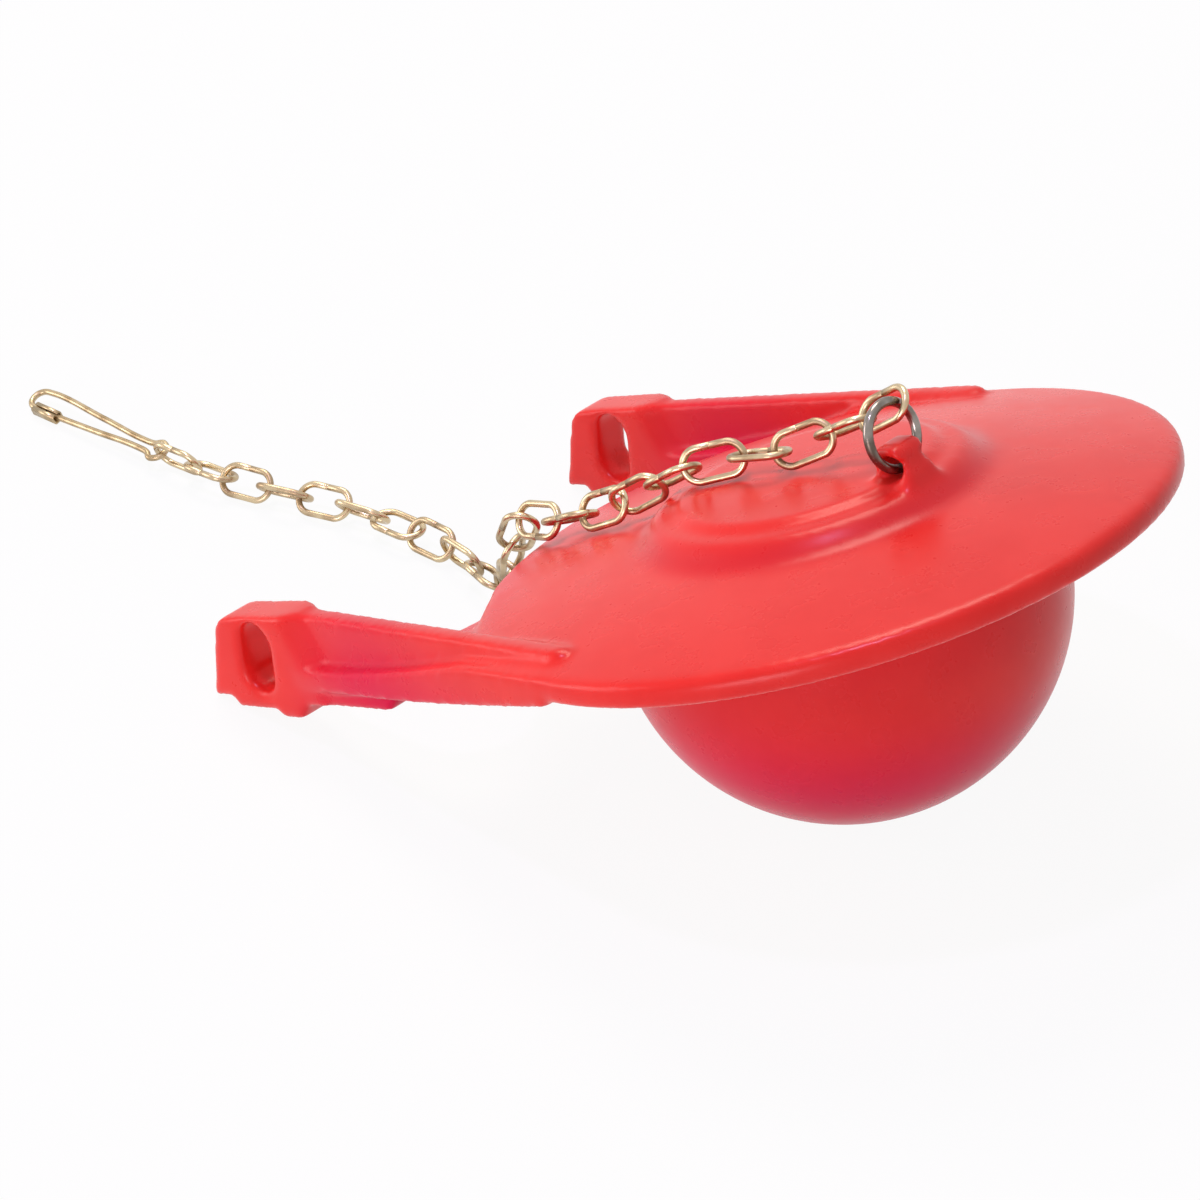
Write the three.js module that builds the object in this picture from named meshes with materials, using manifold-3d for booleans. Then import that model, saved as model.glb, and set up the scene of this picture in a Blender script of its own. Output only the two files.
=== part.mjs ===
// Toilet flapper of soft red rubber, with its ring, link chain and wire clip,
// lying as it comes to rest on a table: on the bulb and the two hinge ears.
// Millimetres, +Z up. The origin is on the table, under the middle of the box.
// The rubber is drawn in the disc's own frame first: X runs from the hinge
// ears to the far rim, Z up through the dome, zero on the top of the rim.

import * as THREE from 'three';
import { mergeVertices } from 'three/addons/utils/BufferGeometryUtils.js';
import Module from 'manifold-3d';

const wasm = await Module();
wasm.setup();

// Sealing disc, dome on top of it and bulb under it
const DISC_RADIUS = 43;
const RIM_THICKNESS = 3.2;
const RIM_EDGE = 0.6;
const BRIM_RISE = 3.5;
const BRIM_FULLNESS = 0.62;
const DOME_FOOT_RADIUS = 23;
const DOME_FOOT_PULL = 0.55;
const DOME_SHOULDER_RADIUS = 18.2;
const DOME_SHOULDER_HEIGHT = 6.3;
const DOME_SHOULDER_PULL = 0.3;
const PLATEAU_RADIUS = 15.6;
const PLATEAU_HEIGHT = 7.4;
const PLATEAU_STEP_SHARE = 0.35;
const CURVE_SETTLE = 0.1;
const BULB_RADIUS = 27.4;
const BULB_DEPTH = 8.6;
const DISC_SEGMENTS = 72;

// Hinge ears, measured from the middle of each slot
const HINGE_REACH = 67.8;
const HINGE_DEPTH = 3.8;
const ARM_SPACING = 66;
const EAR_THICKNESS = 6;
const EAR_BACK = 11.4;
const EAR_FRONT = 7.4;
const EAR_RISE = 5.9;
const EAR_DROP = 5.8;
const EAR_BACK_LEAN = 5.2;
const EAR_CORNER = 2;
const SLOT_RADIUS = 2.8;
const SLOT_TRAVEL = 4.2;
const SLOT_LEAN = THREE.MathUtils.degToRad(16);

// Arms: an upright rib on a flange, and a pad under each arm
const RIB_THICKNESS = 3;
const RIB_TAPER = 3.6;
const RIB_SLANT = 0.36;
const RIB_CREST_LENGTH = 2;
const RIB_STEP = 0.3;
const RIB_TAIL_X = -7.2;
const RIB_TAIL_SHIFT = 5;
const RIB_TAIL_HEIGHT = 1.8;
const FLANGE_THICKNESS = 3;
const FLANGE_DROP = 4.6;
const FLANGE_FALL_START = 22;
const FLANGE_FLOOR_START = 2;
const FLANGE_FALL_END = 62;
const FLANGE_FILLET = 8;
const PAD_LENGTH = 17.2;
const PAD_DEPTH = 2.4;
const PAD_INSET = 0.4;
const PAD_END_RISE = 1.8;
const LOBE_BACK = 6.8;
const LOBE_DEPTH = 1.4;
const NUB_LENGTH = 4.2;
const NUB_DEPTH = 2;

// Chain lug on the dome
const LUG_X = 15.9;
const LUG_LENGTH = 5;
const LUG_WIDTH = 5;
const LUG_TOP = 11.2;
const LUG_CORNER = 1.4;
const LUG_SLOPE = 0.6;
const LUG_HOLE_RADIUS = 1.6;
const LUG_HOLE_HEIGHT = 8.5;
const LUG_FLARE = 0.7;
const LUG_ROOT = 2;

// Ring through the lug
const RING_RADIUS = 3.9;
const RING_WIRE = 1.2;
const RING_LEAN = THREE.MathUtils.degToRad(6);
const RING_HOOK_TURN = THREE.MathUtils.degToRad(40);

// Chain links: wire, length of the opening and outer width
const LINK_WIRE = 0.9;
const LINK_OPENING = 6.8;
const LINK_WIDTH = 5;
const LINK_PITCH = 6.18;
const LINK_COUNT = 25;
const WIRE_GAP = 0.3;

// Wire clip
const CLIP_WIRE = 0.9;
const CLIP_LENGTH = 28.6;
const CLIP_WIDTH = 4.2;
const CLIP_EYE_RADIUS = 1.8;
const CLIP_NECK_GAP = 0.6;
const CLIP_END_GAP = 0.6;
const NOSE_SHARE = 0.3;
const CLASP_SHARE = 0.7;
const CLASP_LENGTH = 4.8;
const CLASP_WIDTH = 1.7;
const CLASP_HEIGHT = 1.5;
const CLIP_TURN = 20;

const RUBBER = new THREE.MeshStandardMaterial({ color: 0xe8463f, roughness: 0.45, metalness: 0 });
const BRASS = new THREE.MeshStandardMaterial({ color: 0xc4a070, roughness: 0.35, metalness: 1 });
const STEEL = new THREE.MeshStandardMaterial({ color: 0xa79f92, roughness: 0.3, metalness: 1 });

const HINGE_X = -HINGE_REACH;
const HINGE_Z = -HINGE_DEPTH;

// Closed three.js geometry to a solid that can be joined and cut
function solidOf(geometry) {
  geometry.deleteAttribute('normal');
  geometry.deleteAttribute('uv');
  const merged = mergeVertices(geometry, 1e-4);
  const corners = merged.index.array;
  const kept = [];
  for (let i = 0; i < corners.length; i += 3) {
    const [a, b, c] = [corners[i], corners[i + 1], corners[i + 2]];
    const collapsed = a === b || b === c || c === a;
    if (!collapsed) kept.push(a, b, c);
  }
  const vertProperties = new Float32Array(merged.attributes.position.array);
  const triVerts = new Uint32Array(kept);
  return new wasm.Manifold(new wasm.Mesh({ numProp: 3, vertProperties, triVerts }));
}

function geometryOf(solid) {
  const mesh = solid.getMesh();
  const geometry = new THREE.BufferGeometry();
  geometry.setAttribute('position', new THREE.BufferAttribute(mesh.vertProperties, 3));
  geometry.setIndex(new THREE.BufferAttribute(mesh.triVerts, 1));
  geometry.computeVertexNormals();
  return geometry;
}

// A side outline in X and Z, as thick as width, centred on yMiddle
function acrossY(shape, width, yMiddle) {
  const settings = { depth: width, bevelEnabled: false, curveSegments: 8 };
  const geometry = new THREE.ExtrudeGeometry(shape, settings);
  geometry.rotateX(Math.PI / 2);
  geometry.translate(0, yMiddle + width / 2, 0);
  return geometry;
}

// A plan outline in X and Y, raised from low to high
function alongZ(shape, low, high) {
  const settings = { depth: high - low, bevelEnabled: false, curveSegments: 8 };
  const geometry = new THREE.ExtrudeGeometry(shape, settings);
  geometry.translate(0, 0, low);
  return geometry;
}

// Top of the brim, dome side, shoulder and plateau, from the rim inwards
function topCurves() {
  const rimTop = new THREE.Vector2(DISC_RADIUS - RIM_EDGE, 0);
  const foot = new THREE.Vector2(DOME_FOOT_RADIUS, BRIM_RISE);
  const shoulder = new THREE.Vector2(DOME_SHOULDER_RADIUS, DOME_SHOULDER_HEIGHT);
  const brimMiddle = new THREE.Vector2((DISC_RADIUS + DOME_FOOT_RADIUS) / 2, BRIM_RISE * BRIM_FULLNESS);
  const brim = new THREE.QuadraticBezierCurve(rimTop, brimMiddle, foot);
  const sideWidth = DOME_FOOT_RADIUS - DOME_SHOULDER_RADIUS;
  const low = new THREE.Vector2(foot.x - sideWidth * DOME_FOOT_PULL, foot.y + CURVE_SETTLE);
  const high = new THREE.Vector2(shoulder.x + sideWidth * DOME_SHOULDER_PULL, shoulder.y - CURVE_SETTLE);
  const side = new THREE.CubicBezierCurve(foot, low, high, shoulder);
  return { brim, side };
}

function topPoints() {
  const { brim, side } = topCurves();
  const stepWidth = DOME_SHOULDER_RADIUS - PLATEAU_RADIUS;
  const stepRadius = PLATEAU_RADIUS + stepWidth * PLATEAU_STEP_SHARE;
  const stepFoot = new THREE.Vector2(stepRadius, DOME_SHOULDER_HEIGHT + CURVE_SETTLE);
  const stepHead = new THREE.Vector2(PLATEAU_RADIUS, PLATEAU_HEIGHT - CURVE_SETTLE);
  const middle = new THREE.Vector2(PLATEAU_RADIUS / 2, PLATEAU_HEIGHT);
  const centre = new THREE.Vector2(0, PLATEAU_HEIGHT);
  return [...brim.getPoints(6), ...side.getPoints(7).slice(1), stepFoot, stepHead, middle, centre];
}

// Height of the rubber's top face at a distance from the dome's axis
function topHeight(radius) {
  const points = topPoints();
  for (let i = 1; i < points.length; i += 1) {
    const [outer, inner] = [points[i - 1], points[i]];
    if (radius <= outer.x && radius >= inner.x) {
      const share = (outer.x - radius) / (outer.x - inner.x);
      return outer.y + share * (inner.y - outer.y);
    }
  }
  return 0;
}

function discSolid() {
  const bulb = new THREE.EllipseCurve(0, -BULB_DEPTH, BULB_RADIUS, BULB_RADIUS, -Math.PI / 2, 0);
  const bulbPoints = bulb.getPoints(13);
  bulbPoints[0].x = 0;
  const edge = [
    new THREE.Vector2(BULB_RADIUS, -RIM_THICKNESS),
    new THREE.Vector2(DISC_RADIUS - RIM_EDGE, -RIM_THICKNESS),
    new THREE.Vector2(DISC_RADIUS, -RIM_THICKNESS + RIM_EDGE),
    new THREE.Vector2(DISC_RADIUS, -RIM_EDGE),
  ];
  const geometry = new THREE.LatheGeometry([...bulbPoints, ...edge, ...topPoints()], DISC_SEGMENTS);
  geometry.rotateX(Math.PI / 2);
  return solidOf(geometry);
}

// The flange's top and floor fall away from the rim to the ears
function flangeFall(x, start) {
  const share = THREE.MathUtils.clamp((-x - start) / (FLANGE_FALL_END - start), 0, 1);
  return Math.sin(share * Math.PI / 2);
}

function flangeTop(x) {
  return -FLANGE_DROP * flangeFall(x, FLANGE_FALL_START);
}

function flangeFloor(x) {
  const drop = FLANGE_DROP + FLANGE_THICKNESS - RIM_THICKNESS;
  return -RIM_THICKNESS - drop * flangeFall(x, FLANGE_FLOOR_START);
}

// Side outline of the ear and the rib that runs from it onto the brim. Under
// the ear are its back foot, a lobe, a nub and the start of the arm's pad.
function earOutline() {
  const earTop = HINGE_Z + EAR_RISE;
  const backHeight = earTop - EAR_CORNER / 4;
  const earFoot = HINGE_Z - EAR_DROP;
  const back = HINGE_X - EAR_BACK;
  const backTop = back + EAR_BACK_LEAN;
  const front = HINGE_X + EAR_FRONT;
  const crestEnd = front + RIB_CREST_LENGTH;
  const padEnd = front + PAD_LENGTH;
  const padFloor = flangeFloor(front) - PAD_DEPTH;
  const nubFloor = padFloor - NUB_DEPTH;
  const nubFront = front - EAR_CORNER;
  const nubBack = nubFront - NUB_LENGTH;
  const lobeFloor = earFoot - LOBE_DEPTH;
  const lobeBack = HINGE_X - LOBE_BACK;

  const outline = new THREE.Shape();
  outline.moveTo(back, earFoot);
  outline.lineTo(backTop - EAR_CORNER / 2, earTop - 1.5 * EAR_CORNER);
  outline.quadraticCurveTo(backTop, backHeight, backTop + 1.5 * EAR_CORNER, backHeight);
  outline.lineTo(front, earTop);
  outline.lineTo(crestEnd, earTop);
  outline.lineTo(crestEnd + RIB_STEP, earTop - RIB_STEP);
  outline.lineTo(RIB_TAIL_X, RIB_TAIL_HEIGHT);
  outline.lineTo(RIB_TAIL_X, -RIM_THICKNESS / 2);
  outline.lineTo(padEnd, flangeFloor(padEnd) + FLANGE_THICKNESS / 2);
  outline.lineTo(padEnd, padFloor + PAD_END_RISE);
  outline.lineTo(padEnd - PAD_END_RISE, padFloor);
  outline.lineTo(nubFront + NUB_DEPTH, padFloor);
  outline.lineTo(nubFront, nubFloor);
  outline.lineTo(nubBack, nubFloor);
  outline.lineTo(nubBack, lobeFloor);
  outline.lineTo(lobeBack, lobeFloor);
  outline.lineTo(lobeBack - LOBE_DEPTH / 2, earFoot);
  outline.closePath();
  return outline;
}

// Centre of the slot's upper (+1) or lower (-1) round end
function slotEnd(sign) {
  const reach = sign * SLOT_TRAVEL / 2;
  return new THREE.Vector2(HINGE_X + reach * Math.sin(SLOT_LEAN), HINGE_Z + reach * Math.cos(SLOT_LEAN));
}

function slotOutline() {
  const [top, foot] = [slotEnd(1), slotEnd(-1)];
  const outline = new THREE.Shape();
  outline.absarc(top.x, top.y, SLOT_RADIUS, -SLOT_LEAN, Math.PI - SLOT_LEAN, false);
  outline.absarc(foot.x, foot.y, SLOT_RADIUS, Math.PI - SLOT_LEAN, 2 * Math.PI - SLOT_LEAN, false);
  outline.closePath();
  return outline;
}

// Plan outline that narrows the ear to the rib and turns the rib along the brim
function ribPlan(side) {
  const middle = ARM_SPACING / 2;
  const start = HINGE_X + EAR_FRONT;
  const tail = middle + RIB_TAIL_SHIFT;
  const outline = new THREE.Shape();
  outline.moveTo(HINGE_X - 2 * EAR_BACK, side * (middle - EAR_THICKNESS / 2));
  outline.lineTo(start, side * (middle - EAR_THICKNESS / 2));
  outline.lineTo(start + RIB_TAPER, side * (middle - RIB_THICKNESS / 2));
  outline.lineTo(RIB_TAIL_X, side * (tail - RIB_THICKNESS / 2));
  outline.lineTo(RIB_TAIL_X, side * (tail + RIB_THICKNESS / 2));
  outline.lineTo(start + RIB_TAPER, side * (middle + RIB_THICKNESS / 2));
  outline.lineTo(start, side * (middle + EAR_THICKNESS / 2));
  outline.lineTo(HINGE_X - 2 * EAR_BACK, side * (middle + EAR_THICKNESS / 2));
  outline.closePath();
  return outline;
}

function ribEnvelope(side) {
  const geometry = alongZ(ribPlan(side), -BULB_RADIUS, BULB_RADIUS);
  const position = geometry.attributes.position;
  for (let i = 0; i < position.count; i += 1) {
    position.setX(i, position.getX(i) - RIB_SLANT * position.getZ(i));
  }
  return solidOf(geometry);
}

// Side outline of the flange, in short steps along its fall
function flangeOutline() {
  const start = HINGE_X + EAR_FRONT - EAR_CORNER;
  const steps = 10;
  const stations = Array.from({ length: steps + 1 }, (_, i) => start + (RIB_TAIL_X - start) * i / steps);
  const outline = new THREE.Shape();
  outline.moveTo(start, flangeFloor(start));
  for (const x of stations) outline.lineTo(x, flangeTop(x) - RIM_EDGE / 4);
  for (const x of stations.reverse()) outline.lineTo(x, flangeFloor(x));
  outline.closePath();
  return outline;
}

// Plan outline of the flange: its outer edge runs from the ear onto the rim as
// a tangent, its inner edge meets the rim in a fillet
function flangePlan(side) {
  const middle = ARM_SPACING / 2;
  const outer = middle + EAR_THICKNESS / 2;
  const inner = middle - EAR_THICKNESS / 2;
  const start = HINGE_X + EAR_FRONT - EAR_CORNER / 2;
  const distance = Math.hypot(start, outer);
  const touch = Math.atan2(outer, start) - Math.acos(DISC_RADIUS / distance);
  const tangent = new THREE.Vector2(Math.cos(touch), Math.sin(touch)).multiplyScalar(DISC_RADIUS);
  const filletY = inner - FLANGE_FILLET;
  const filletX = -Math.sqrt((DISC_RADIUS + FLANGE_FILLET) ** 2 - filletY ** 2);
  const rimTurn = Math.atan2(-filletY, -filletX);
  const rimEnd = new THREE.Vector2(filletX, filletY).setLength(DISC_RADIUS - FLANGE_FILLET);
  const steps = 6;
  const outline = new THREE.Shape();
  outline.moveTo(start, side * outer);
  outline.lineTo(tangent.x, side * tangent.y);
  outline.lineTo(tangent.x, side * inner);
  outline.lineTo(rimEnd.x, side * rimEnd.y);
  for (let i = 0; i <= steps; i += 1) {
    const turn = rimTurn + (Math.PI / 2 - rimTurn) * i / steps;
    const x = filletX + FLANGE_FILLET * Math.cos(turn);
    const y = filletY + FLANGE_FILLET * Math.sin(turn);
    outline.lineTo(x, side * y);
  }
  outline.lineTo(start, side * inner);
  outline.closePath();
  return outline;
}

// Side outline of the pad, a little narrower than the ear
function padOutline() {
  const start = HINGE_X + EAR_FRONT - EAR_CORNER;
  const end = HINGE_X + EAR_FRONT + PAD_LENGTH;
  const floor = flangeFloor(HINGE_X + EAR_FRONT) - PAD_DEPTH;
  const outline = new THREE.Shape();
  outline.moveTo(start, floor);
  outline.lineTo(end - PAD_END_RISE, floor);
  outline.lineTo(end, floor + PAD_END_RISE);
  outline.lineTo(end, flangeFloor(end) + FLANGE_THICKNESS / 2);
  outline.lineTo(start, flangeFloor(start) + FLANGE_THICKNESS / 2);
  outline.closePath();
  return outline;
}

function armSolid(side) {
  const middle = side * ARM_SPACING / 2;
  const reach = 2 * (RIB_TAIL_SHIFT + EAR_THICKNESS);
  const rib = solidOf(acrossY(earOutline(), reach, middle)).intersect(ribEnvelope(side));
  const plan = solidOf(alongZ(flangePlan(side), -BULB_RADIUS, BULB_RADIUS));
  const flange = solidOf(acrossY(flangeOutline(), 2 * DISC_RADIUS, middle)).intersect(plan);
  const pad = solidOf(acrossY(padOutline(), EAR_THICKNESS - 2 * PAD_INSET, middle));
  const slot = solidOf(acrossY(slotOutline(), 2 * EAR_THICKNESS, middle));
  return rib.add(flange).add(pad).subtract(slot);
}

// Lug: a rounded block with a slightly wider foot, both sunk into the dome
function lugSolid() {
  const left = LUG_X - LUG_LENGTH / 2;
  const right = LUG_X + LUG_LENGTH / 2;
  const root = PLATEAU_HEIGHT - LUG_ROOT;
  const outline = new THREE.Shape();
  outline.moveTo(left, root);
  outline.lineTo(right, root);
  outline.lineTo(right - LUG_SLOPE, LUG_TOP - LUG_CORNER);
  outline.quadraticCurveTo(right - LUG_SLOPE, LUG_TOP, right - LUG_SLOPE - LUG_CORNER, LUG_TOP);
  outline.lineTo(left + LUG_CORNER, LUG_TOP);
  outline.quadraticCurveTo(left, LUG_TOP, left, LUG_TOP - LUG_CORNER);
  outline.closePath();
  const footCorners = [];
  for (const [spread, height] of [[LUG_FLARE, root], [0, PLATEAU_HEIGHT + LUG_FLARE]]) {
    for (const x of [left - spread, right + spread]) {
      for (const side of [-1, 1]) footCorners.push([x, side * (LUG_WIDTH / 2 + spread), height]);
    }
  }
  return solidOf(acrossY(outline, LUG_WIDTH, 0)).add(wasm.Manifold.hull(footCorners));
}

function lugHole() {
  const geometry = new THREE.CylinderGeometry(LUG_HOLE_RADIUS, LUG_HOLE_RADIUS, LUG_WIDTH + LUG_FLARE, 20);
  geometry.translate(LUG_X, 0, LUG_HOLE_HEIGHT);
  return solidOf(geometry);
}

function flapperGeometry() {
  const arms = armSolid(-1).add(armSolid(1));
  const rubber = discSolid().add(arms).add(lugSolid()).subtract(lugHole());
  return geometryOf(rubber);
}

// A piece of rigging: the mesh with its own axes set in the table's frame
function placed(name, geometry, material, centre, run, width) {
  const mesh = new THREE.Mesh(geometry, material);
  const normal = new THREE.Vector3().crossVectors(run, width);
  const turn = new THREE.Matrix4().makeBasis(run, width, normal);
  mesh.name = name;
  mesh.position.copy(centre);
  mesh.quaternion.setFromRotationMatrix(turn);
  return mesh;
}

// Tilt at which the bulb and the ears' back corners touch the same table
function restTilt() {
  const cornerX = HINGE_REACH + EAR_BACK;
  const cornerDrop = HINGE_DEPTH + EAR_DROP - BULB_DEPTH;
  const distance = Math.hypot(cornerX, cornerDrop);
  return Math.asin(BULB_RADIUS / distance) - Math.atan2(cornerDrop, cornerX);
}

const ACROSS = new THREE.Vector3(0, 1, 0);
const TILT = restTilt();
const AXIS_HEIGHT = BULB_DEPTH * Math.cos(TILT) + BULB_RADIUS;

// From the disc's frame to the table's, with the table at height zero
function onTable(x, y, z) {
  const point = new THREE.Vector3(x, y, z);
  point.applyAxisAngle(ACROSS, -TILT);
  point.z += AXIS_HEIGHT;
  return point;
}

// Ring: its wire passes through the middle of the lug's hole, and the first
// link hangs on it a little past its top, on the far side
function ringPlace() {
  const lean = new THREE.Vector3(-Math.sin(RING_LEAN), 0, Math.cos(RING_LEAN));
  const chordDepth = RING_RADIUS - Math.sqrt(RING_RADIUS ** 2 - (LUG_WIDTH / 2) ** 2);
  const hole = onTable(LUG_X, 0, LUG_HOLE_HEIGHT);
  const run = lean.applyAxisAngle(ACROSS, -TILT);
  const centre = hole.addScaledVector(run, RING_RADIUS - chordDepth / 2);
  const hook = centre.clone()
    .addScaledVector(run, RING_RADIUS * Math.cos(RING_HOOK_TURN))
    .addScaledVector(ACROSS, RING_RADIUS * Math.sin(RING_HOOK_TURN));
  const wire = ACROSS.clone()
    .multiplyScalar(Math.cos(RING_HOOK_TURN))
    .addScaledVector(run, -Math.sin(RING_HOOK_TURN));
  return { centre, run, hook, wire };
}

// The guide line that the chain lies along. On the rubber a point is X and Y
// in the disc's frame and its height over the top face. Past the rim it is the
// distance behind the rim, Y, and the height over the table, as far as the
// clip's nose. LINK_TURNS turns each link about its own run, in degrees, from
// lying flat.
const GUIDE_ON_RUBBER = [
  [9.6, 2.1, 5.6],
  [3.7, 1.2, 3.9],
  [-1.8, -1.5, 2.7],
  [-7.8, -2.5, 2.7],
  [-12.9, -5.8, 2.7],
  [-18.8, -6.5, 2.8],
  [-24.3, -7.8, 2.9],
  [-30.4, -8.5, 2.6],
  [-36.5, -8.7, 2.6],
];
const GUIDE_PAST_RIM = [
  [0.9, -8.4, 24.8],
  [3.9, -7.4, 19.5],
  [6.3, -5.6, 14.0],
  [8.9, -3.2, 8.8],
  [12.3, -0.2, 4.5],
  [17.0, 2.7, 2.7],
  [22.8, 4.5, 2.7],
  [28.9, 5.4, 2.7],
  [35.1, 5.5, 2.7],
  [41.3, 5.3, 2.7],
  [47.4, 4.3, 2.7],
  [53.4, 2.6, 2.7],
  [59.4, 0.8, 2.7],
  [65.4, -0.6, 2.7],
  [71.6, -1.2, 2.7],
  [77.7, -1.7, 2.7],
  [107, -1.2, 1.5],
];
const LINK_TURNS = [
  0, -25, 67, -15, 67, -25, -72, 58, -22, 62,
  -35, 45, -45, 35, -85, -25, -72, 55, 3, -47,
  45, -42, 50, -20, -65,
];

function guideLine() {
  const rimX = onTable(-DISC_RADIUS, 0, 0).x;
  const onRubber = ([x, y, lift]) => onTable(x, y, topHeight(Math.hypot(x, y)) + lift);
  const pastRim = ([back, y, z]) => new THREE.Vector3(rimX - back, y, z);
  return [...GUIDE_ON_RUBBER.map(onRubber), ...GUIDE_PAST_RIM.map(pastRim)];
}

// The next point of the guide line that is one pitch away from a joint
function nextJoint(guide, from, passed) {
  let leg = passed;
  while (guide[leg].distanceTo(from) < LINK_PITCH) leg += 1;
  const start = leg === passed ? from : guide[leg - 1];
  const along = guide[leg].clone().sub(start);
  const offset = start.clone().sub(from);
  const half = offset.dot(along) / along.lengthSq();
  const rest = (offset.lengthSq() - LINK_PITCH ** 2) / along.lengthSq();
  const share = Math.sqrt(half ** 2 - rest) - half;
  return { joint: start.clone().addScaledVector(along, share), leg };
}

// The joints, where one link hangs in the next, from the ring to the clip
function chainJoints() {
  const ring = ringPlace();
  const guide = guideLine();
  const first = guide[0];
  const run = first.clone().sub(ring.hook).normalize();
  const hookDepth = (RING_WIRE + LINK_WIRE) / 2 + WIRE_GAP;
  const halfLink = (LINK_OPENING + LINK_WIRE) / 2;
  const spacing = 2 * (first.distanceTo(ring.hook) - (halfLink - hookDepth));
  const joints = [first.clone().addScaledVector(run, -spacing), first];
  let passed = 1;
  while (joints.length <= LINK_COUNT) {
    const { joint, leg } = nextJoint(guide, joints[joints.length - 1], passed);
    joints.push(joint);
    passed = leg;
  }
  return joints;
}

function linkGeometry() {
  const sideSteps = 8;
  const roundSteps = 16;
  const radius = (LINK_WIDTH - LINK_WIRE) / 2;
  const straight = LINK_OPENING + LINK_WIRE - 2 * radius;
  const geometry = new THREE.TorusGeometry(radius, LINK_WIRE / 2, sideSteps, roundSteps);
  geometry.rotateZ(Math.PI / roundSteps);
  const position = geometry.attributes.position;
  for (let i = 0; i < position.count; i += 1) {
    position.setX(i, position.getX(i) + Math.sign(position.getX(i)) * straight / 2);
  }
  return geometryOf(solidOf(geometry));
}

// How far a link's end wire reaches past the joint, for its spacing
function linkReach(spacing) {
  return (LINK_OPENING + LINK_WIRE - spacing) / 2;
}

// Axes of a link that runs from one joint to the next, turned about its run
function linkAxes(from, to, turnDegrees) {
  const run = to.clone().sub(from).normalize();
  const up = new THREE.Vector3(0, 0, 1).addScaledVector(run, -run.z).normalize();
  const across = new THREE.Vector3().crossVectors(run, up);
  const turn = THREE.MathUtils.degToRad(turnDegrees);
  const width = across.multiplyScalar(Math.cos(turn)).addScaledVector(up, Math.sin(turn));
  return { run, width, centre: from.clone().add(to).multiplyScalar(0.5) };
}

// The first link stands square to the ring's wire
function chainLinks() {
  const joints = chainJoints();
  const ringWire = ringPlace().wire;
  return joints.slice(1).map((to, i) => {
    const { run, width, centre } = linkAxes(joints[i], to, LINK_TURNS[i]);
    if (i === 0) width.crossVectors(ringWire, run).normalize();
    const name = `chain_link_${String(i + 1).padStart(2, '0')}`;
    return placed(name, linkGeometry(), BRASS, centre, run, width);
  });
}

function ringMesh() {
  const { centre, run } = ringPlace();
  const geometry = geometryOf(solidOf(new THREE.TorusGeometry(RING_RADIUS, RING_WIRE / 2, 8, 24)));
  return placed('lug_ring', geometry, STEEL, centre, run, ACROSS);
}

// Clip: spring wire bent into an eye, a far leg, a round nose and a near leg,
// whose two ends meet inside a folded clasp
function clipCurve(claspMiddle) {
  const half = (CLIP_WIDTH - CLIP_WIRE) / 2;
  const nose = CLIP_LENGTH - CLIP_WIRE / 2;
  const bend = nose - half - CLIP_WIRE / 2;
  const neck = 2 * CLIP_EYE_RADIUS;
  const neckHalf = (CLIP_WIRE + CLIP_NECK_GAP) / 2;
  const eye = CLIP_EYE_RADIUS - CLIP_WIRE / 2;
  const legMiddle = (claspMiddle + neck) / 2;
  const legHalf = (half + neckHalf) / 2;
  const noseSide = half * (1 - NOSE_SHARE);
  const noseBack = nose - half * NOSE_SHARE;
  const point = (x, y) => new THREE.Vector3(x, y, 0);
  return new THREE.CatmullRomCurve3([
    point(claspMiddle - CLIP_END_GAP / 2, -half),
    point(legMiddle, -legHalf),
    point(neck + CLIP_WIRE, -neckHalf),
    point(neck - CLIP_WIRE, -neckHalf - CLIP_WIRE / 6),
    point(eye, -eye - CLIP_WIRE / 6),
    point(0, 0),
    point(eye, eye + CLIP_WIRE / 6),
    point(neck - CLIP_WIRE, neckHalf + CLIP_WIRE / 6),
    point(neck + CLIP_WIRE, neckHalf),
    point(legMiddle, legHalf),
    point(bend, half),
    point(noseBack, noseSide),
    point(nose, 0),
    point(noseBack, -noseSide),
    point(bend, -half),
    point(claspMiddle + CLIP_END_GAP / 2, -half),
  ]);
}

function clipGeometry() {
  const half = (CLIP_WIDTH - CLIP_WIRE) / 2;
  const claspMiddle = CLIP_LENGTH - half - CLASP_LENGTH * CLASP_SHARE;
  const section = new THREE.Shape();
  section.absarc(0, 0, CLIP_WIRE / 2, 0, 2 * Math.PI, false);
  const settings = { steps: 64, extrudePath: clipCurve(claspMiddle), curveSegments: 4, bevelEnabled: false };
  const bent = solidOf(new THREE.ExtrudeGeometry(section, settings));
  const plate = new THREE.BoxGeometry(CLASP_LENGTH, CLASP_WIDTH, CLASP_HEIGHT);
  plate.translate(claspMiddle, -half, 0);
  return geometryOf(bent.add(solidOf(plate)));
}

function clipMesh() {
  const joints = chainJoints();
  const guide = guideLine();
  const from = joints[joints.length - 1];
  const { run, width } = linkAxes(from, guide[guide.length - 1], CLIP_TURN);
  const hookDepth = (CLIP_WIRE + LINK_WIRE) / 2 + WIRE_GAP;
  const last = from.clone().sub(joints[joints.length - 2]);
  const lastWire = from.clone().addScaledVector(last.clone().normalize(), linkReach(last.length()));
  const eye = lastWire.addScaledVector(run, -hookDepth);
  return placed('chain_clip', clipGeometry(), BRASS, eye, run, width);
}

const flapper = new THREE.Mesh(flapperGeometry(), RUBBER);
flapper.name = 'flapper_body';
flapper.rotation.y = -TILT;
flapper.position.z = AXIS_HEIGHT;

const assembly = new THREE.Group();
assembly.add(flapper, ringMesh(), ...chainLinks(), clipMesh());

const part = new THREE.Group();
part.add(assembly);
part.updateMatrixWorld(true);
const box = new THREE.Box3().setFromObject(assembly, true);
assembly.position.x = -(box.min.x + box.max.x) / 2;

export default part;
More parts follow.
